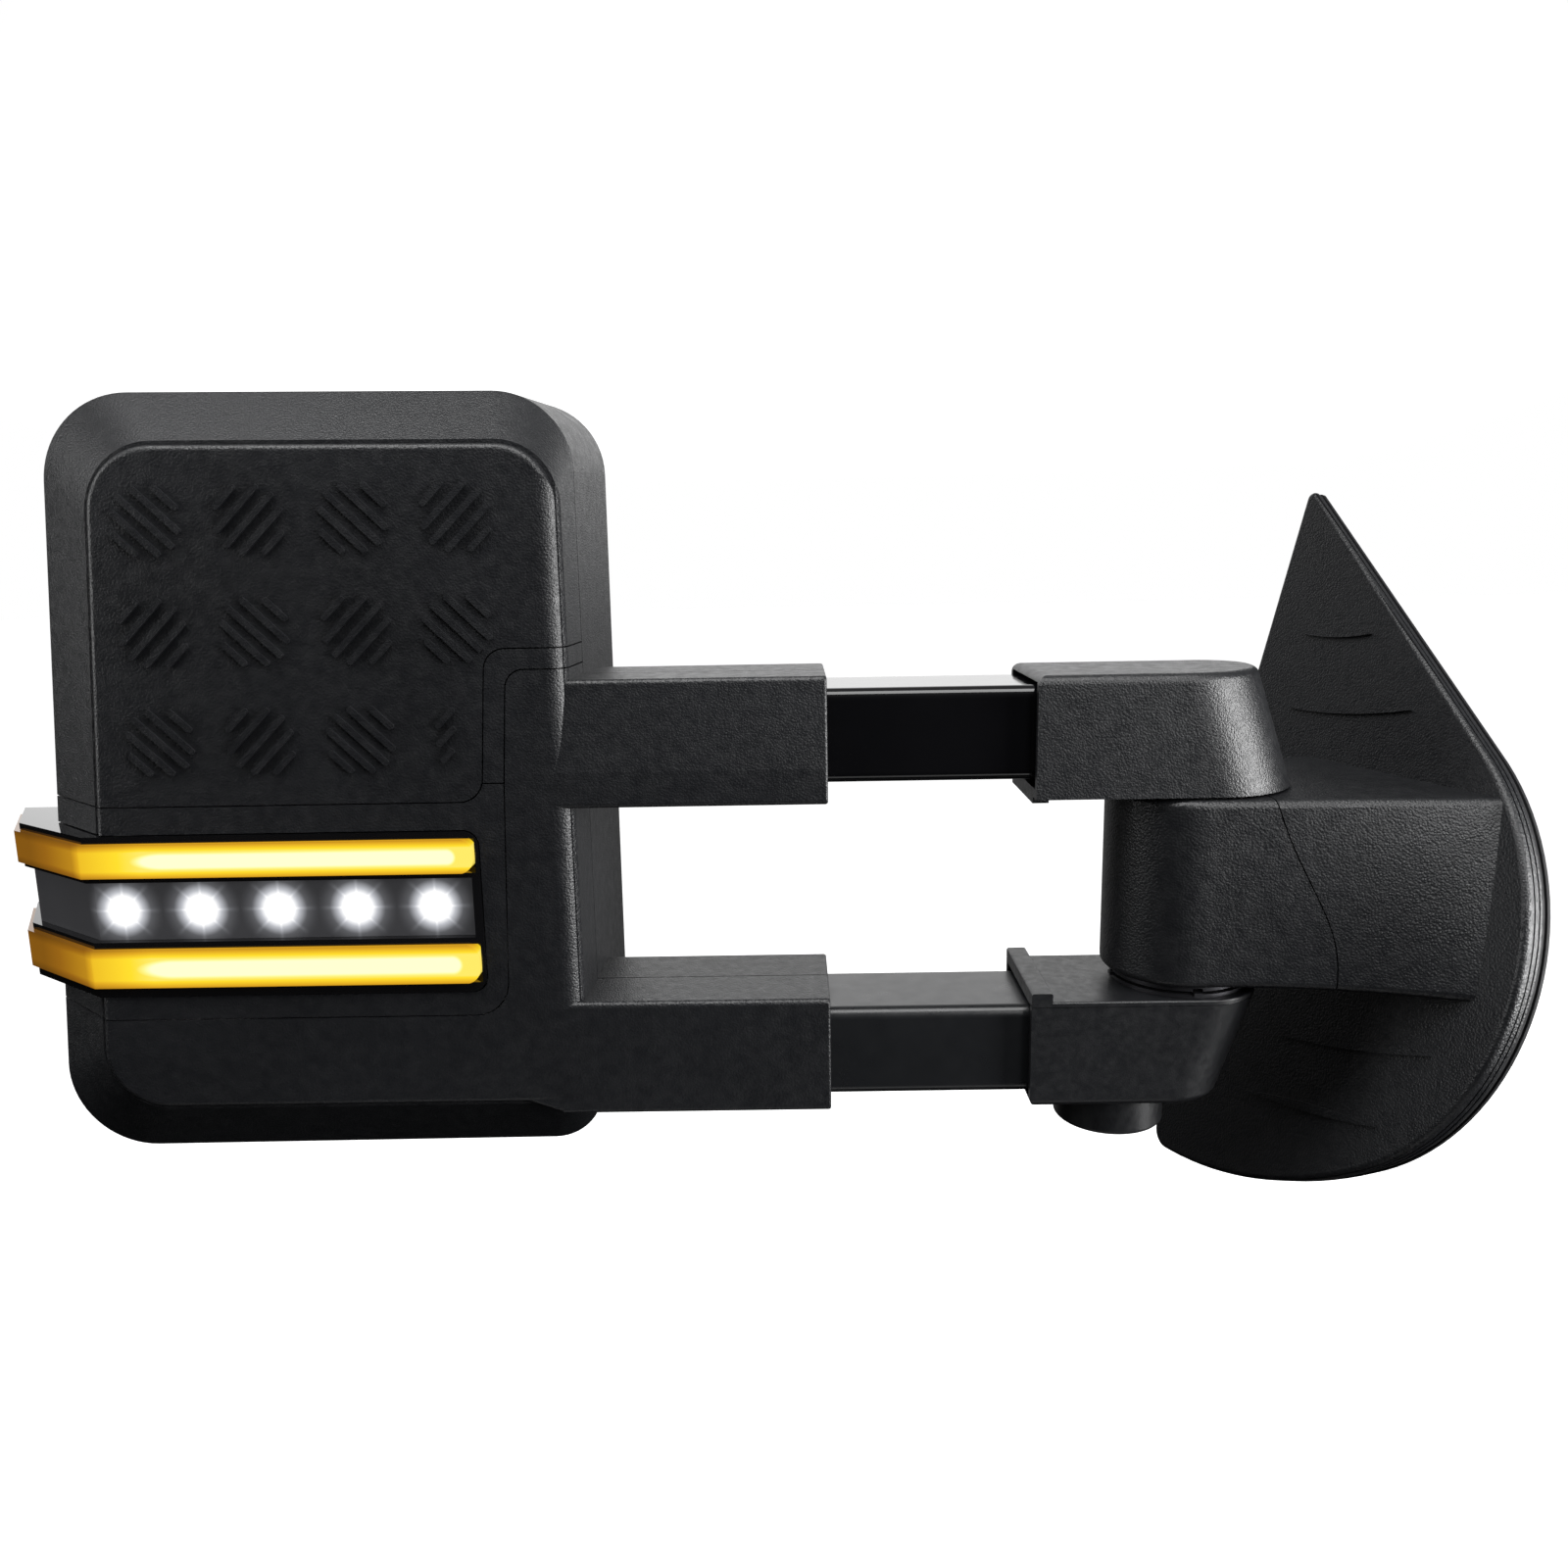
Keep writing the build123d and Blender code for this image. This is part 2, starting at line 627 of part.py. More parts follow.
def bezel_region():
    """Frame round the lamp."""
    points = [(-360, -42.6), (-108.6, -42.6), (-105.2, 46.6), (-360, 46.6)]
    face = outline(points, [0, 13, 0, 0])
    return face - skull_region() - strip_region()


def shrink(face):
    """Leave half a seam all round."""
    return offset(face, amount=-SEAM / 2, kind=Kind.INTERSECTION)


def lamp_plan(grow=0.0):
    """Lamp seen from above, grown or shrunk."""
    face = outline(LAMP_PLAN)
    if grow:
        face = offset(face, amount=grow, kind=Kind.INTERSECTION)
    return face


def lamp_window(clear):
    """Opening for the lamp, round cornered at its inner end."""
    z0, z1 = LAMP_Z
    points = [(-360, z0 - clear), (LAMP_RIGHT + clear, z0 - clear), (LAMP_RIGHT + clear, z1 + clear), (-360, z1 + clear)]
    return outline(points, [0, 6, 6, 0])


def front_shell():
    """Whole front half of the head with both sleeves, before it is divided."""
    outer = (head_solid() + raised_pad()) - edge_trim()
    outer += sleeve_solid(upper_sleeve_section()) + sleeve_solid(lower_sleeve_section(), -90) + sleeve_ramp()
    inner = head_solid(WALL) + raised_pad(WALL)
    inner += head_face_prism(RIM_Y - 4, RIM_Y + 5)
    inner += tube_space(UPPER_Z, -126, -95, EASY) + tube_space(LOWER_Z, -126, -85, EASY)
    return outer - inner - sleeve_bores()


def edge_trim():
    """Waste outside the large rounding of the head's front edge next to the arms."""
    corner = box(EDGE_X, EDGE_X + 30, PAD_Y - 5, PAD_Y + EDGE_R, -140, 220)
    return corner - rod_z(EDGE_X, PAD_Y + EDGE_R, -141, 221, EDGE_R)


def sleeve_ramp():
    """Slanted root that runs the lower sleeve's front and bottom into the head."""
    z0, z1 = LOWER_SLEEVE
    full = outline([(ARM_FRONT, z0), (ARM_FRONT, z1), (ARM_REAR, z1), (ARM_REAR, z0)], 2.0)
    small = outline([(ARM_FRONT + 0.5, z0 + 8), (ARM_FRONT + 0.5, z1), (ARM_REAR, z1), (ARM_REAR, z0 + 8)], 2.0)
    ends = [Plane((x, 0, 0), x_dir=(0, 1, 0), z_dir=(1, 0, 0)) * face for x, face in ((-112, small), (-89, full))]
    return loft(ends, ruled=True)


def head_face_prism(y0, y1):
    """Rear opening for the glass."""
    face = offset(outline(REAR, list(FULL_R)), amount=-8)
    return along_y(face, y0, y1)


def front_mask():
    """Everything in front of the housing joint, which steps forward along the sleeves."""
    return box(-400, -86, -60, SPLIT_Y, -200, 300) + box(-86, 60, -60, ARM_MID, -200, 300)


MEDALLION_X = (-225.5, -189.0, -152.5, -116.5)
MEDALLION_Z = (142.0, 103.0, 63.5)
MEDALLION_PITCH = 5.6
FULL_BARS = ((-2, 11.2), (-1, 22.5), (0, 26.0), (1, 22.5), (2, 11.2))
REMNANT_X = -125.0
REMNANT_BARS = ((71.0, 9.5), (64.2, 9.5), (57.3, 6.5))


def slanted_bar(x, z, lean, length, aside=0.0):
    """Rib at 45 degrees; lean is +1 or -1."""
    return Pos(x, z) * Rot(0, 0, 45 * lean) * Pos(0, aside) * SlotOverall(length, 2.3)


def medallions():
    """Four by three field of ribbed medallions that alternate in slant; the last is a short remnant."""
    field = []
    for row, z in enumerate(MEDALLION_Z):
        for column, x in enumerate(MEDALLION_X):
            lean = 1 if (row + column) % 2 else -1
            if row == 2 and column == 3:
                bars = [slanted_bar(REMNANT_X, height, lean, length) for height, length in REMNANT_BARS]
            else:
                middle = x - 1.7 * row
                bars = [slanted_bar(middle, z, lean, size, step * MEDALLION_PITCH) for step, size in FULL_BARS]
            field.append(along_y(bars[0] + bars[1:], PAD_Y - 1.0, PAD_Y + 1.0))
    return field[0] + field[1:]


def build_head_shells():
    shell = front_shell()
    front = shell & front_mask()
    window = along_y(lamp_window(0.4), -60, 52.6)
    skull = along_y(shrink(skull_region()), -60, 62)
    strip = along_y(shrink(strip_region()), -60, 62)
    bezel = along_y(shrink(bezel_region()), -60, 62)
    others = skull_region() + strip_region() + bezel_region()
    arm_cut = along_y(offset(others, amount=SEAM / 2, kind=Kind.INTERSECTION), -60, 62)
    cap = front & skull
    ribs = medallions() & along_y(offset(skull_region(), amount=-3), -60, 62)
    save("skull_cap", cap + ribs)
    save("trim_strip", front & strip)
    save("lamp_bezel", (front & bezel) - window)
    save("arm_housing", front - arm_cut)
    rear = shell - front_mask()
    rear -= box(-400, -86 - SEAM, SPLIT_Y, SPLIT_Y + SEAM, -200, 300)
    rear -= box(-86 - SEAM, 60, ARM_MID, ARM_MID + SEAM, -200, 300)
    rear += glass_divider()
    save("rear_housing", rear)


def glass_divider():
    """Bar between the upper and the lower glass."""
    return box(-295, -83, 76, RIM_Y - 0.5, -43, -38)


# ---------------------------------------------------------------- head insides


FRAME_Y = (47.7, 50.0)
FRAME_LEGS = ((-225, 140), (-143, 140), (-225, -66), (-143, -66))


def main_frame():
    """Moulded frame behind the tubes: centre column, cross arms, tube rails and legs."""
    y0, y1 = FRAME_Y
    plate = box(-232, -136, y0, y1, -84, 150)
    plate -= box(GLASS_X - 43, GLASS_X + 25, y0 - 1, y1 + 1, UPPER_GLASS_Z - 25, UPPER_GLASS_Z + 43)
    for z in (UPPER_Z, LOWER_Z):
        plate += box(-140, -93, y0, y1, z - 21, z + 21)
        for side in (-1, 1):
            edge = z + side * (TUBE_H / 2 + 1.7)
            plate += box(-124, -93, 8, y1, edge - 1.2, edge + 1.2)
    for x, z in FRAME_LEGS:
        plate += rod_y(x, PAD_Y + WALL + 0.1, y1, z, 5)
    return plate


def sleeve_guide(section, z):
    """Moulded slide liner near the mouth of a sleeve and one at its root."""
    liners = []
    for x0 in (SLEEVE_END - 14, -88):
        body = along_x(section, x0, x0 + 12) - tube_space(z, x0 - 1, x0 + 13, FIT)
        liners.append(body)
    return liners[0] + liners[1:]


def friction_shoes():
    """Pads that rub on the rear of each tube."""
    pads = [box(-60, -30, TUBE_W + FIT, 45.4, z - 12, z + 12) for z in (UPPER_Z, LOWER_Z)]
    return pads[0] + pads[1:]


def friction_springs():
    """Bowed leaf springs behind the friction shoes."""
    leaf = ThreePointArc((-60, 45.5), (-45, 46.4), (-30, 45.5))
    leaf += Line((-30, 45.5), (-30, 46.0))
    leaf += ThreePointArc((-30, 46.0), (-45, 46.9), (-60, 46.0))
    leaf += Line((-60, 46.0), (-60, 45.5))
    face = make_face(leaf)
    springs = [along_z(face, z - 9, z + 9) for z in (UPPER_Z, LOWER_Z)]
    return springs[0] + springs[1:]


def build_head_frame():
    save("main_frame", main_frame())
    save("upper_sleeve_guides", sleeve_guide(upper_sleeve_section(SLEEVE_WALL + 0.1), UPPER_Z))
    save("lower_sleeve_guides", sleeve_guide(lower_sleeve_section(SLEEVE_WALL + 0.1), LOWER_Z))
    save("friction_shoes", friction_shoes())
    save("friction_springs", friction_springs())
    save("housing_screws", housing_screws())


def housing_screws():
    """Screw heads that clamp the main frame's legs to the front shells."""
    screws = [rod_y(x, FRAME_Y[1] + 0.05, FRAME_Y[1] + 2.2, z, 4) for x, z in FRAME_LEGS]
    return screws[0] + screws[1:]


# ---------------------------------------------------------------- lamp


def lamp_layer(outward, inward, z0, z1, x_right=LAMP_RIGHT):
    """Band of the lamp that follows its plan between two offsets."""
    ring_plan = lamp_plan(outward) - lamp_plan(inward)
    side = along_z(ring_plan, z0, z1)
    return side & box(-400, x_right, -60, 52, z0, z1)


def light_bar(z0, z1):
    """Proud light bar with softened edges and a rounded inner end."""
    bar = lamp_layer(2.0, -4.5, z0 + 0.2, z1 - 0.2, LAMP_RIGHT - 1.5)
    mask = outline([(-400, z0), (LAMP_RIGHT - 1.5, z0), (LAMP_RIGHT - 1.5, z1), (-400, z1)], [0, 6, 6, 0])
    return bar & along_y(mask, -60, 60)


def build_lamp():
    z0, z1 = LAMP_Z
    body = lamp_layer(0, -15, z0, z1) & along_y(lamp_window(0), -60, 60)
    for low, high in (BAR_UPPER, BAR_LOWER):
        body -= lamp_layer(5, -4.6, low, high, LAMP_RIGHT - 1.4)
    body -= lamp_layer(5, -13, BAND_LENS[0], BAND_LENS[1], LAMP_RIGHT - 3)
    save("lamp_housing", body)
    save("amber_lens_upper", light_bar(*BAR_UPPER))
    save("amber_lens_lower", light_bar(*BAR_LOWER))
    low, high = BAND_LENS
    save("clear_lens", lamp_layer(-3.0, -5.0, low + 0.1, high - 0.1, LAMP_RIGHT - 3.2))
    reflector = lamp_layer(-7.0, -11.0, low + 0.2, high - 0.2, LAMP_RIGHT - 3.2)
    emitters = []
    for x in LED_X:
        reflector -= Pos(x, 5.1, 0) * Rot(90, 0, 0) * Cone(4.0, 8.0, 4.4)
        emitters.append(rod_y(x, 3.4, 5.0, 0, 2.6))
    save("led_reflector", reflector)
    save("led_emitters", emitters[0] + emitters[1:])
    save("lamp_board", box(-252, -122, 5.1, 6.6, low + 1, high - 1))


# ---------------------------------------------------------------- glass


def glass_face(span, radii, inset=0.0):
    """Rounded outline of one glass inside the rear opening; the left edge leans like the head."""
    (left_top, z_top), (left_low, z_low) = REAR[0], REAR[3]
    slope = (left_top - left_low) / (z_top - z_low)
    points = []
    for z in (span[1], span[0]):
        points.append((left_top + slope * (z - z_top) + GLASS_GAP, z))
    right = REAR[1][0] - GLASS_GAP
    face = outline([points[0], (right, span[1]), (right, span[0]), points[1]], radii)
    return offset(face, amount=-inset) if inset else face


UPPER_SPAN = (-34.0, 176.0)
LOWER_SPAN = (-92.0, -47.0)
UPPER_GLASS_R = (22, 18, 9, 9)
LOWER_GLASS_R = (9, 9, 14, 20)


def cross(x, y, z, arm):
    """Universal joint cross: square hub with two crossed pins."""
    hub = box(x - 4, x + 4, y - 4, y + 4, z - 4, z + 4)
    return hub + rod_z(x, y, z - arm, z + arm, 2.4) + rod_x(x - arm, x + arm, y, z, 2.4)


def pan_ears(x, y, z, y0, arm=13.0):
    """Pair of ears above and below a cross, reaching forward to y0."""
    ears = []
    for side in (-1, 1):
        mid = z + side * (arm - 3)
        ears.append(box(x - 5, x + 5, y0, y + 4, mid - 2.5, mid + 2.5))
    return (ears[0] + ears[1]) - rod_z(x, y, z - 20, z + 20, 2.4 + FIT)


def tilt_ears(x, y, z, y1, arm=13.0):
    """Pair of ears left and right of a cross, reaching back to y1."""
    ears = []
    for side in (-1, 1):
        mid = x + side * (arm - 3)
        ears.append(box(mid - 2.5, mid + 2.5, y - 5, y1, z - 5, z + 5))
    return (ears[0] + ears[1]) - rod_x(x - 20, x + 20, y, z, 2.4 + FIT)


CARRIER_Y = 68.0


def socket(x, z):
    """Hollow boss on the carrier that takes a plunger tip."""
    return rod_y(x, CARRIER_Y - 7, CARRIER_Y + 1, z, 6.5) - rod_y(x, CARRIER_Y - 8, CARRIER_Y, z, 4.6)


def upper_carrier():
    plate = along_y(glass_face(UPPER_SPAN, UPPER_GLASS_R, 1.5), CARRIER_Y, CARRIER_Y + 2)
    plate += tilt_ears(GLASS_X, PIVOT_Y, UPPER_GLASS_Z, CARRIER_Y + 1)
    plate += socket(GLASS_X - PLUNGER_R, UPPER_GLASS_Z)
    return plate + socket(GLASS_X, UPPER_GLASS_Z + PLUNGER_R)


def lower_carrier():
    plate = along_y(glass_face(LOWER_SPAN, LOWER_GLASS_R, 1.5), CARRIER_Y, CARRIER_Y + 2)
    return plate + tilt_ears(GLASS_X, PIVOT_Y, LOWER_GLASS_Z, CARRIER_Y + 1)


def lower_glass():
    """Convex glass: a thin dome cut to the outline."""
    blank = along_y(glass_face(LOWER_SPAN, LOWER_GLASS_R), CARRIER_Y + 2.1, CARRIER_Y + 9)
    reach = 600.0
    crown = CARRIER_Y + 7.6
    dome = Pos(GLASS_X, crown - reach, LOWER_GLASS_Z) * Sphere(reach)
    return blank & dome


ACTUATOR_Y = (30.0, 53.0)


def plunger(x, z):
    """Screw plunger with a ball tip."""
    return rod_y(x, 39, CARRIER_Y - 4, z, 2.4) + Pos(x, CARRIER_Y - 4, z) * Sphere(3.4)


def build_glass():
    x, z = GLASS_X, UPPER_GLASS_Z
    y0, y1 = ACTUATOR_Y
    case = box(x - 42, x + 24, y0, y1 - 3, z - 24, z + 42) - box(x - 40, x + 22, y0 - 1, y1 - 5, z - 22, z + 40)
    case += box(x - 48, x + 30, y1 - 2.9, y1 - 1, z - 30, z + 48) - box(x - 40, x + 22, y1 - 3, y1, z - 22, z + 40)
    case += pan_ears(x, PIVOT_Y, z, y1 - 4)
    for px, pz in ((x - PLUNGER_R, z), (x, z + PLUNGER_R)):
        case += rod_y(px, y1 - 4, y1 + 1, pz, 5.5)
        case -= rod_y(px, y1 - 8, y1 + 3, pz, 2.4 + FIT)
    save("actuator_cover", case)
    base = box(x - 42, x + 24, y0 - 3, y0 - 0.1, z - 24, z + 42)
    save("actuator_base", base)
    motors = rod_x(x - 20, x + 4, y0 + 7, z - 13, 6) + [rod_z(x + 14, y0 + 7, z - 4, z + 20, 6)]
    save("actuator_motors", motors)
    save("pan_plunger", plunger(x - PLUNGER_R, z))
    save("tilt_plunger", plunger(x, z + PLUNGER_R))
    save("upper_pan_cross", cross(x, PIVOT_Y, z, 12.5))
    save("upper_glass_carrier", upper_carrier())
    heater = along_y(glass_face(UPPER_SPAN, UPPER_GLASS_R, 3), CARRIER_Y + 2.1, CARRIER_Y + 2.6)
    save("heater_pad", heater)
    save("upper_glass", along_y(glass_face(UPPER_SPAN, UPPER_GLASS_R), CARRIER_Y + 2.7, CARRIER_Y + 5.0))
    bracket = box(x - 22, x + 22, 50.1, 53, LOWER_GLASS_Z - 14, LOWER_GLASS_Z + 14)
    save("lower_glass_bracket", bracket + pan_ears(x, PIVOT_Y, LOWER_GLASS_Z, 52))
    save("lower_pan_cross", cross(x, PIVOT_Y, LOWER_GLASS_Z, 12.5))
    save("lower_glass_carrier", lower_carrier())
    save("lower_glass", lower_glass())


build_door_side()
build_pivot()
build_arms()
build_head_shells()
build_head_frame()
build_lamp()
build_glass()
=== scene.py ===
import json
import math

import bpy
from mathutils import Matrix, Vector


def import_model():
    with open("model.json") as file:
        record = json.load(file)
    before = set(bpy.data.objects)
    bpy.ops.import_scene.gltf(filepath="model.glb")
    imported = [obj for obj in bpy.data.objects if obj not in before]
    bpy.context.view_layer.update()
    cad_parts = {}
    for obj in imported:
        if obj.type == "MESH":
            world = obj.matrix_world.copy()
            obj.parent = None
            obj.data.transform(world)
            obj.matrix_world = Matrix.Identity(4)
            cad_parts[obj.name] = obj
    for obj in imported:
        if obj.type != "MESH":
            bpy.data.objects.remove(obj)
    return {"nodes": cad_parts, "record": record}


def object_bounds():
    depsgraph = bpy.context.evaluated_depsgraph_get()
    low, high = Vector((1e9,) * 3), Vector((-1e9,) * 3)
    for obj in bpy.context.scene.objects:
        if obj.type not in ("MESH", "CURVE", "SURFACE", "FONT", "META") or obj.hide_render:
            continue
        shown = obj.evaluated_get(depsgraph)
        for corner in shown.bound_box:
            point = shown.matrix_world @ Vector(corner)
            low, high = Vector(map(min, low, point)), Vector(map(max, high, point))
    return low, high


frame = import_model()
NODES = frame["nodes"]
CAD_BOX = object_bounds()

MM = 0.001
# The stud circle's centre, where the row frame has its origin, in millimetres of the drawing frame.
STUD_CENTRE = Vector((231.0654, 46.6445, -31.1417))


def at(x, y, z):
    """Point of the drawing frame, millimetres, as a point of the row frame, metres."""
    return (Vector((x, y, z)) - STUD_CENTRE) * MM


# ---------------------------------------------------------------- camera and light

CAMERA_AT = (0.0, -443.4, 129.1)
CAMERA_PITCH = 10.9
CAMERA_YAW = 0.4
CAMERA_ROLL = -1.0
SENSOR_WIDTH = 36.0
FOCAL_TO_WIDTH = 1250.0 / 1600.0
CLIP = (0.02, 60.0)

# Strength of the surroundings in front of the object, behind it, and overhead.
WORLD_FRONT = 0.015
WORLD_BACK = 1.5
WORLD_TOP = 0.3
# Share of the rear wall's light that is left below the horizon.
WORLD_BELOW = 0.15
# Directions, as unit vector components, over which each part of the surroundings fades in.
BEHIND_FADE = (0.62, 0.92)
HORIZON_FADE = (-0.05, 0.12)
ZENITH_FADE = (0.30, 0.95)

MIDDLE = (-0.25, 0.0, 0.0)
# Name, place, target, size and watts of each area light, in metres of the row frame.
LIGHTS = (
    ("key_top", (-0.35, -0.45, 1.25), MIDDLE, (1.6, 0.7), 24),
    ("side_left", (-1.05, -0.20, 0.25), (-0.50, 0, 0), (0.3, 0.6), 2.4),
    ("side_right", (1.05, -0.50, 0.10), (-0.05, 0, 0.05), (0.40, 1.0), 30),
    ("near_camera", (0.32, -0.90, 0.50), (-0.02, 0, 0), (0.30, 0.4), 4.5),
    ("low_fill", (-0.35, -0.60, -1.0), MIDDLE, (1.4, 0.4), 1.5),
)


def make_camera():
    pitch = math.radians(CAMERA_PITCH)
    yaw = math.radians(CAMERA_YAW)
    roll = math.radians(CAMERA_ROLL)

    def world(x, y, z):
        """Level camera axes (right, forward, up) tilted down by the pitch, then turned by the yaw."""
        forward = math.cos(pitch) * y + math.sin(pitch) * z
        up = -math.sin(pitch) * y + math.cos(pitch) * z
        return Vector((math.cos(yaw) * x - math.sin(yaw) * forward,
                       math.sin(yaw) * x + math.cos(yaw) * forward, up))

    right = world(math.cos(roll), 0, math.sin(roll))
    upward = world(-math.sin(roll), 0, math.cos(roll))
    back = world(0, -1, 0)
    data = bpy.data.cameras.new("camera")
    data.sensor_width = SENSOR_WIDTH
    data.lens = FOCAL_TO_WIDTH * data.sensor_width
    data.clip_start, data.clip_end = CLIP
    camera = bpy.data.objects.new("camera", data)
    bpy.context.scene.collection.objects.link(camera)
    turn = Matrix((right, upward, back)).transposed().to_4x4()
    camera.matrix_world = Matrix.Translation(at(*CAMERA_AT)) @ turn
    bpy.context.scene.camera = camera


def softbox(name, place, target, size, power):
    """Rectangular area light aimed at a point, all in metres of the row frame."""
    data = bpy.data.lights.new(name, "AREA")
    data.shape = "RECTANGLE"
    data.size, data.size_y = size
    data.energy = power
    lamp = bpy.data.objects.new(name, data)
    bpy.context.scene.collection.objects.link(lamp)
    lamp.location = place
    lamp.rotation_euler = (Vector(target) - Vector(place)).to_track_quat("-Z", "Y").to_euler()


def make_world():
    """White behind the object for the camera; other rays meet a room lit from behind and overhead."""
    world = bpy.data.worlds.new("studio")
    bpy.context.scene.world = world
    world.use_nodes = True
    tree = world.node_tree

    def ramp(source, fade, start, end):
        made = tree.nodes.new("ShaderNodeMapRange")
        for socket, value in zip(("From Min", "From Max", "To Min", "To Max"), (*fade, start, end)):
            made.inputs[socket].default_value = value
        tree.links.new(source, made.inputs["Value"])
        return made.outputs["Result"]

    def combine(operation, first, second):
        made = tree.nodes.new("ShaderNodeMath")
        made.operation = operation
        tree.links.new(first, made.inputs[0])
        tree.links.new(second, made.inputs[1])
        return made.outputs[0]

    place = tree.nodes.new("ShaderNodeTexCoord")
    split = tree.nodes.new("ShaderNodeSeparateXYZ")
    tree.links.new(place.outputs["Generated"], split.inputs["Vector"])
    behind = ramp(split.outputs["Y"], BEHIND_FADE, WORLD_FRONT, WORLD_BACK)
    above = ramp(split.outputs["Z"], HORIZON_FADE, WORLD_BELOW, 1.0)
    zenith = ramp(split.outputs["Z"], ZENITH_FADE, 0.0, WORLD_TOP)
    room = combine("MAXIMUM", combine("MULTIPLY", behind, above), zenith)
    seen = tree.nodes.new("ShaderNodeLightPath").outputs["Is Camera Ray"]
    tree.links.new(combine("MAXIMUM", room, seen), tree.nodes["Background"].inputs["Strength"])
    tree.nodes["Background"].inputs["Color"].default_value = (1, 1, 1, 1)


def make_lights():
    for light in LIGHTS:
        softbox(*light)


# ---------------------------------------------------------------- materials

# The part of a noise's range that most of its values lie in.
NOISE_LOW = 0.3
NOISE_HIGH = 0.7


class Shader:
    """A node material made from short calls."""

    def __init__(self, name, **values):
        self.material = bpy.data.materials.new(name)
        self.material.use_nodes = True
        self.tree = self.material.node_tree
        self.surface = self.tree.nodes["Principled BSDF"]
        for socket, value in values.items():
            self.surface.inputs[socket.replace("_", " ")].default_value = value
        place = self.tree.nodes.new("ShaderNodeTexCoord")
        self.position = place.outputs["Object"]

    def node(self, kind, inputs=None, **settings):
        made = self.tree.nodes.new("ShaderNode" + kind)
        for key, value in settings.items():
            setattr(made, key, value)
        for key, value in (inputs or {}).items():
            socket = made.inputs[key]
            if isinstance(value, bpy.types.NodeSocket):
                self.tree.links.new(value, socket)
            else:
                socket.default_value = value
        return made

    def link(self, source, socket):
        self.tree.links.new(source, self.surface.inputs[socket])

    def math(self, operation, a, b=0.0, clamp=False):
        return self.node("Math", {0: a, 1: b}, operation=operation, use_clamp=clamp).outputs[0]

    def length(self, a, b):
        """Length of the vector with these two components."""
        squares = self.math("MULTIPLY", a, a), self.math("MULTIPLY", b, b)
        return self.math("SQRT", self.math("ADD", *squares))

    def noise(self, scale, detail=3.0, rough=0.5):
        inputs = {"Vector": self.position, "Scale": scale, "Detail": detail, "Roughness": rough}
        return self.node("TexNoise", inputs).outputs["Fac"]

    def cells(self, scale):
        inputs = {"Vector": self.position, "Scale": scale, "Randomness": 1.0}
        return self.node("TexVoronoi", inputs, feature="F1").outputs["Distance"]

    def spread(self, value, low, high, to_low, to_high):
        """Map one range of a value to another."""
        inputs = {"Value": value, "From Min": low, "From Max": high, "To Min": to_low, "To Max": to_high}
        return self.node("MapRange", inputs).outputs["Result"]

    def tones(self, value, stops):
        """Colours along a value."""
        ramp = self.node("ValToRGB", {"Fac": value})
        band = ramp.color_ramp
        while len(band.elements) < len(stops):
            band.elements.new(0.5)
        for element, (where, colour) in zip(band.elements, stops):
            element.position = where
            element.color = (*colour, 1)
        return ramp.outputs["Color"]

    def mottle(self, value, dark, light):
        """Two tones over the middle of a noise's range."""
        return self.tones(value, [(NOISE_LOW, dark), (NOISE_HIGH, light)])

    def relief(self, height, distance):
        """Bump by a height field; distance is the full relief in metres."""
        inputs = {"Height": height, "Distance": distance, "Strength": 1.0}
        self.link(self.node("Bump", inputs).outputs["Normal"], "Normal")


def grained_plastic(name, base, rough, grain, cell):
    """Moulded plastic with a leather grain; grain is its relief in metres, cell the cells in a metre."""
    s = Shader(name)
    pebbles = s.cells(cell)
    uneven = s.noise(cell * 1.2, 1.0)
    height = s.math("SUBTRACT", s.math("MULTIPLY", uneven, 0.35), pebbles)
    s.relief(height, grain)
    tone = s.noise(9.0, 4.0, 0.6)
    dark = tuple(0.82 * c for c in base)
    light = tuple(1.2 * c for c in base)
    s.link(s.mottle(tone, dark, light), "Base Color")
    gloss = s.noise(cell * 0.2, 3.0)
    s.link(s.spread(gloss, NOISE_LOW, NOISE_HIGH, rough - 0.05, rough + 0.06), "Roughness")
    return s.material


def plain_finish(name, base, rough, metal=0.0, wave=0.0, wave_scale=120.0, uneven=0.1, **more):
    """Smooth finish with slight unevenness in tone, gloss and level; wave is its relief in metres."""
    s = Shader(name, Metallic=metal, **more)
    tone = s.noise(25.0, 4.0, 0.6)
    dark = tuple((1 - uneven) * c for c in base)
    light = tuple(min(1.0, (1 + uneven) * c) for c in base)
    s.link(s.mottle(tone, dark, light), "Base Color")
    gloss = s.noise(140.0, 3.0)
    s.link(s.spread(gloss, NOISE_LOW, NOISE_HIGH, rough * (1 - uneven), rough * (1 + uneven)), "Roughness")
    if wave:
        s.relief(s.noise(wave_scale, 2.0), wave)
    return s.material


# Heights of the two light bars and the ends of their bright core, in millimetres of the drawing frame.
UPPER_BAR_Z = (13.4, 26.4)
LOWER_BAR_Z = (-29.0, -14.0)
CORE_X = (-232.0, -124.0)
BAR_CORNER_X = -263.0
# How far the core's outer end is drawn out.
CORE_STRETCH = 0.30
# Shares of the bar's half height over which the core and the rim fade, and what is left of the rim.
CORE_FADE = (0.35, 1.05)
RIM_FADE = (0.55, 1.05)
RIM_LEFT = 0.42
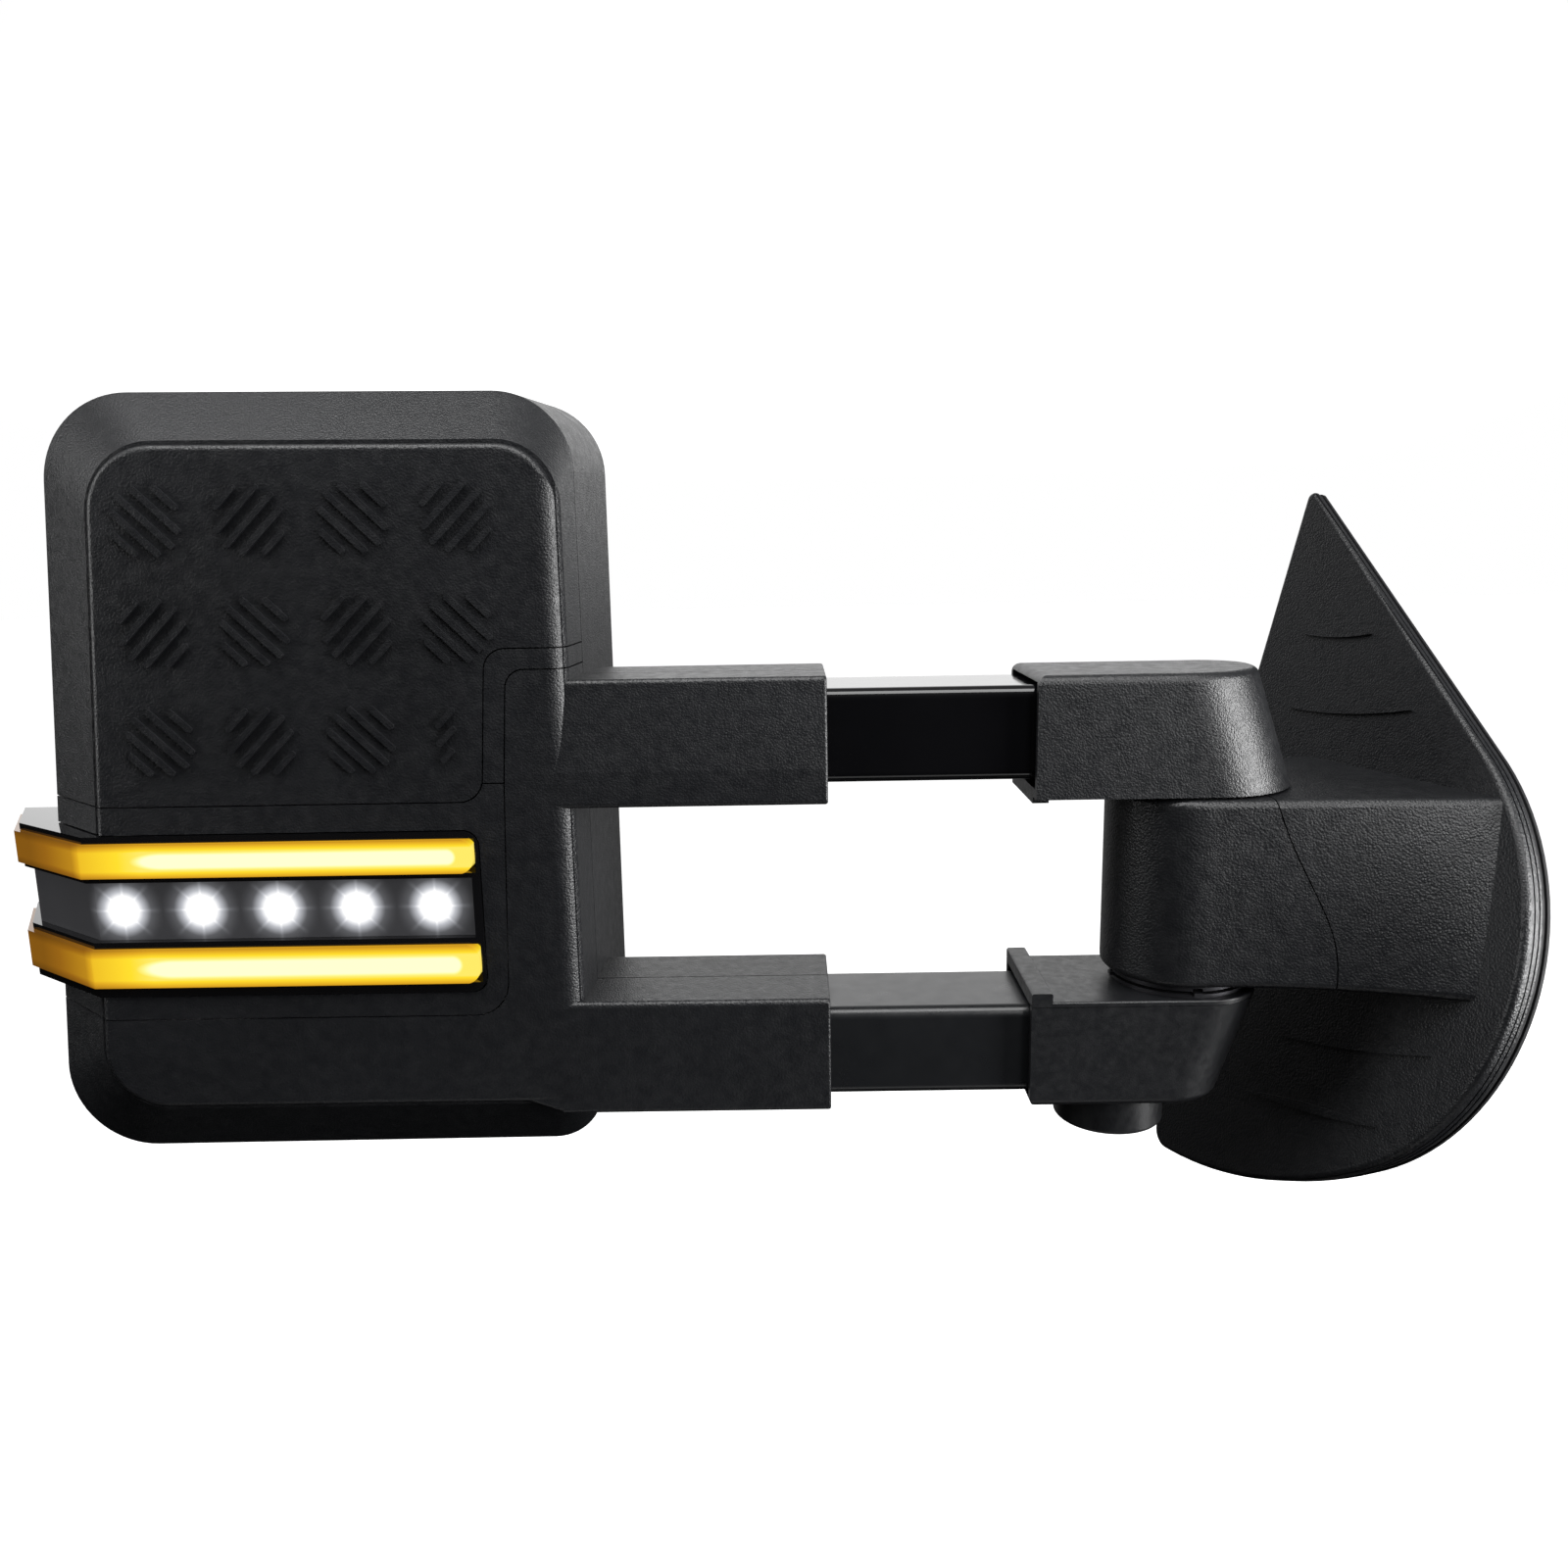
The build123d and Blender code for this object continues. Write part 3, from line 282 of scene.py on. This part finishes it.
# Level of the lit lens at its far end and beside the core, and the share of it left round the corner.
BASE_FADE = (0.062, 0.008)
BASE_LEVEL = (0.22, 0.74)
ROUND_CORNER = 0.68
BAR_GLOW = ((0.0, (0.03, 0.010, 0.002)), (0.22, (0.30, 0.12, 0.006)), (0.45, (0.70, 0.37, 0.012)),
            (0.66, (0.95, 0.69, 0.022)), (0.85, (1.0, 0.88, 0.28)), (1.0, (1.0, 0.97, 0.62)))
BAR_COLOUR = ((0.0, (0.03, 0.012, 0.002)), (1.0, (0.10, 0.06, 0.01)))


def amber_bar(name, heights):
    """Lit light bar: near white core, amber rim, dim brown towards and round the outer corner."""
    s = Shader(name, Roughness=0.14, Coat_Weight=0.5, Emission_Strength=1.05)
    low = at(CORE_X[0], 0, heights[0])
    high = at(CORE_X[1], 0, heights[1])
    half = (high.z - low.z) / 2
    split = s.node("SeparateXYZ", {"Vector": s.position})
    x, z = split.outputs["X"], split.outputs["Z"]
    beyond = s.math("MAXIMUM", s.math("SUBTRACT", x, high.x - half * 0.5), 0.0)
    short = s.math("MULTIPLY", s.math("MAXIMUM", s.math("SUBTRACT", low.x, x), 0.0), CORE_STRETCH)
    rise = s.math("SUBTRACT", z, (high.z + low.z) / 2)
    reach = s.length(s.math("ADD", beyond, short), rise)
    core = s.spread(s.math("DIVIDE", reach, half), *CORE_FADE, 1.0, 0.0)
    base = s.spread(x, low.x - BASE_FADE[0], low.x - BASE_FADE[1], *BASE_LEVEL)
    corner = at(BAR_CORNER_X, 0, 0).x
    base = s.math("MULTIPLY", base, s.spread(x, corner - 0.004, corner + 0.001, ROUND_CORNER, 1.0))
    rim = s.spread(s.math("DIVIDE", s.math("ABSOLUTE", rise), half), *RIM_FADE, 1.0, RIM_LEFT)
    level = s.math("MULTIPLY", s.math("MAXIMUM", core, base), rim)
    s.link(s.tones(level, BAR_GLOW), "Emission Color")
    s.link(s.tones(level, BAR_COLOUR), "Base Color")
    return s.material


# The first spot light and the step to the next, in millimetres of the drawing frame.
LED_FIRST = -251.0
LED_PITCH = 29.25
# Distances from a spot's middle, in metres, over which each part of its light fades, and its power.
SPOT_FADE = (0.0035, 0.0105, 1.3)
HALO_FADE = (0.004, 0.0160, 2.0)
RAY_FADE = (0.005, 0.0150, 1.5)
HALO_SHARE = 0.30
RAY_SHARE = 0.16
# Half the number of rays, and how fine they are.
RAY_TURNS = 4.0
RAY_POWER = 30.0
LED_GLOW = ((0.0, (0.018, 0.018, 0.019)), (0.5, (0.40, 0.41, 0.44)), (1.0, (1, 1, 1)))


def led_window():
    """Smoked lens with a row of white hot spots, each with fine rays."""
    s = Shader("smoked_lens_leds", Roughness=0.07, Coat_Weight=0.4, Emission_Strength=1.3)
    first = at(LED_FIRST, 0, 0)
    pitch = LED_PITCH * MM
    split = s.node("SeparateXYZ", {"Vector": s.position})
    run = s.math("SUBTRACT", split.outputs["X"], first.x)
    local = s.node("Math", {0: run, 1: pitch / 2, 2: -pitch / 2}, operation="WRAP").outputs[0]
    rise = s.math("SUBTRACT", split.outputs["Z"], first.z)
    reach = s.length(local, rise)

    def fade(near, far, power):
        return s.math("POWER", s.spread(reach, near, far, 1.0, 0.0), power)

    turn = s.math("MULTIPLY", s.math("ARCTAN2", rise, local), RAY_TURNS)
    ray = s.math("POWER", s.math("ABSOLUTE", s.math("COSINE", turn)), RAY_POWER)
    rays = s.math("MULTIPLY", s.math("MULTIPLY", ray, fade(*RAY_FADE)), RAY_SHARE)
    soft = s.math("ADD", fade(*SPOT_FADE), s.math("MULTIPLY", fade(*HALO_FADE), HALO_SHARE))
    light = s.math("ADD", soft, rays, clamp=True)
    inside = s.math("GREATER_THAN", run, -pitch / 2)
    s.link(s.tones(s.math("MULTIPLY", light, inside), LED_GLOW), "Emission Color")
    tone = s.noise(40.0, 3.0)
    s.link(s.mottle(tone, (0.018, 0.018, 0.020), (0.024, 0.024, 0.026)), "Base Color")
    return s.material


BLACK = (0.0062, 0.0066, 0.0078)
# Finish, material name, base colour, roughness, relief in metres and cells in a metre.
GRAINED = (
    ("grained_black", "leather_grain_black", BLACK, 0.40, 0.00013, 1300.0),
    ("sail_black", "coarse_grain_black", BLACK, 0.40, 0.00015, 1150.0),
    ("smooth_black", "fine_matt_black", (0.006, 0.0064, 0.0075), 0.40, 0.00002, 1800.0),
)
# Finish, material name, base colour, roughness and anything more.
PLAIN = (
    ("lamp_black", "lamp_gloss_black", (0.004, 0.004, 0.0045), 0.07, {"wave": 0.00001, "Coat_Weight": 0.6}),
    ("tube_gloss", "tube_gloss_black", (0.003, 0.003, 0.0035), 0.08, {"wave": 0.00003, "wave_scale": 160.0}),
    ("tube_satin", "tube_satin_black", (0.008, 0.0085, 0.0095), 0.30, {"wave": 0.00002}),
    ("rubber", "rubber_black", (0.008, 0.008, 0.009), 0.66,
     {"wave": 0.00003, "wave_scale": 900.0, "Specular_IOR_Level": 0.25}),
    ("cast_metal", "cast_aluminium", (0.42, 0.43, 0.44), 0.46,
     {"metal": 1.0, "wave": 0.00003, "wave_scale": 900.0, "uneven": 0.05}),
    ("steel", "zinc_steel", (0.60, 0.61, 0.63), 0.26, {"metal": 1.0, "wave": 0.00001, "wave_scale": 300.0}),
    ("black_steel", "phosphated_steel", (0.05, 0.05, 0.055), 0.42,
     {"metal": 0.8, "wave": 0.00002, "wave_scale": 400.0}),
    ("acetal", "acetal_natural", (0.72, 0.70, 0.64), 0.38, {"wave": 0.00001}),
    ("inner_black", "inner_moulding_black", (0.016, 0.016, 0.017), 0.5, {"wave": 0.00004, "wave_scale": 700.0}),
    ("bronze", "sintered_bronze", (0.50, 0.33, 0.15), 0.38, {"metal": 1.0, "wave": 0.00004, "wave_scale": 900.0}),
    ("mirror", "silvered_glass", (0.86, 0.88, 0.90), 0.015, {"metal": 1.0, "uneven": 0.01}),
    ("heater", "heater_foil", (0.35, 0.18, 0.06), 0.4, {"metal": 0.6, "wave": 0.00002, "wave_scale": 200.0}),
    ("gunmetal", "motor_can", (0.34, 0.35, 0.37), 0.3, {"metal": 1.0, "wave": 0.00001, "wave_scale": 300.0}),
    ("reflector", "metallised_plastic", (0.30, 0.30, 0.32), 0.22, {"metal": 1.0}),
    ("board", "board_lacquer", (0.03, 0.14, 0.07), 0.4, {}),
    ("led_white", "led", (0.9, 0.9, 0.9), 0.3, {"Emission_Color": (1, 1, 1, 1), "Emission_Strength": 4.0}),
)


def make_materials():
    made = {finish: grained_plastic(*values) for finish, *values in GRAINED}
    made.update({finish: plain_finish(*values, **more) for finish, *values, more in PLAIN})
    made["amber_upper"] = amber_bar("lit_amber_upper", UPPER_BAR_Z)
    made["amber_lower"] = amber_bar("lit_amber_lower", LOWER_BAR_Z)
    made["clear_lens"] = led_window()
    return made


# Nodes whose finish is not the one of their material slot.
OWN_FINISH = {
    "amber_lens_upper": "amber_upper",
    "amber_lens_lower": "amber_lower",
    "sail_shell": "sail_black",
    "neck_cover": "sail_black",
    "upper_tube": "tube_gloss",
    "lower_tube": "tube_satin",
}


def paint_nodes(finishes):
    slots = {part["node"]: part["material_slot"] for part in frame["record"]["subparts"]}
    for name, node in NODES.items():
        wanted = finishes[OWN_FINISH.get(name, slots[name])]
        node.data.materials.clear()
        node.data.materials.append(wanted)


# ---------------------------------------------------------------- stage

FLOOR_DROP = 0.30
FLOOR_HALF = 12.0


def make_stage():
    """Pale floor under the object, which no diffuse or glossy ray meets, so it doesn't light the object."""
    level = CAD_BOX[0].z - FLOOR_DROP
    corners = [(-FLOOR_HALF, -FLOOR_HALF, level), (FLOOR_HALF, -FLOOR_HALF, level),
               (FLOOR_HALF, FLOOR_HALF, level), (-FLOOR_HALF, FLOOR_HALF, level)]
    mesh = bpy.data.meshes.new("floor")
    mesh.from_pydata(corners, [], [(0, 1, 2, 3)])
    floor = bpy.data.objects.new("floor", mesh)
    bpy.context.scene.collection.objects.link(floor)
    paper = Shader("studio_paper", Roughness=0.9, Emission_Color=(1, 1, 1, 1), Emission_Strength=0.8)
    paper.link(paper.mottle(paper.noise(3.0), (0.80, 0.80, 0.80), (0.82, 0.82, 0.82)), "Base Color")
    mesh.materials.append(paper.material)
    floor.visible_diffuse = False
    floor.visible_glossy = False


make_world()
make_camera()
make_lights()
make_stage()
paint_nodes(make_materials())
bpy.context.scene.view_settings.view_transform = "Standard"
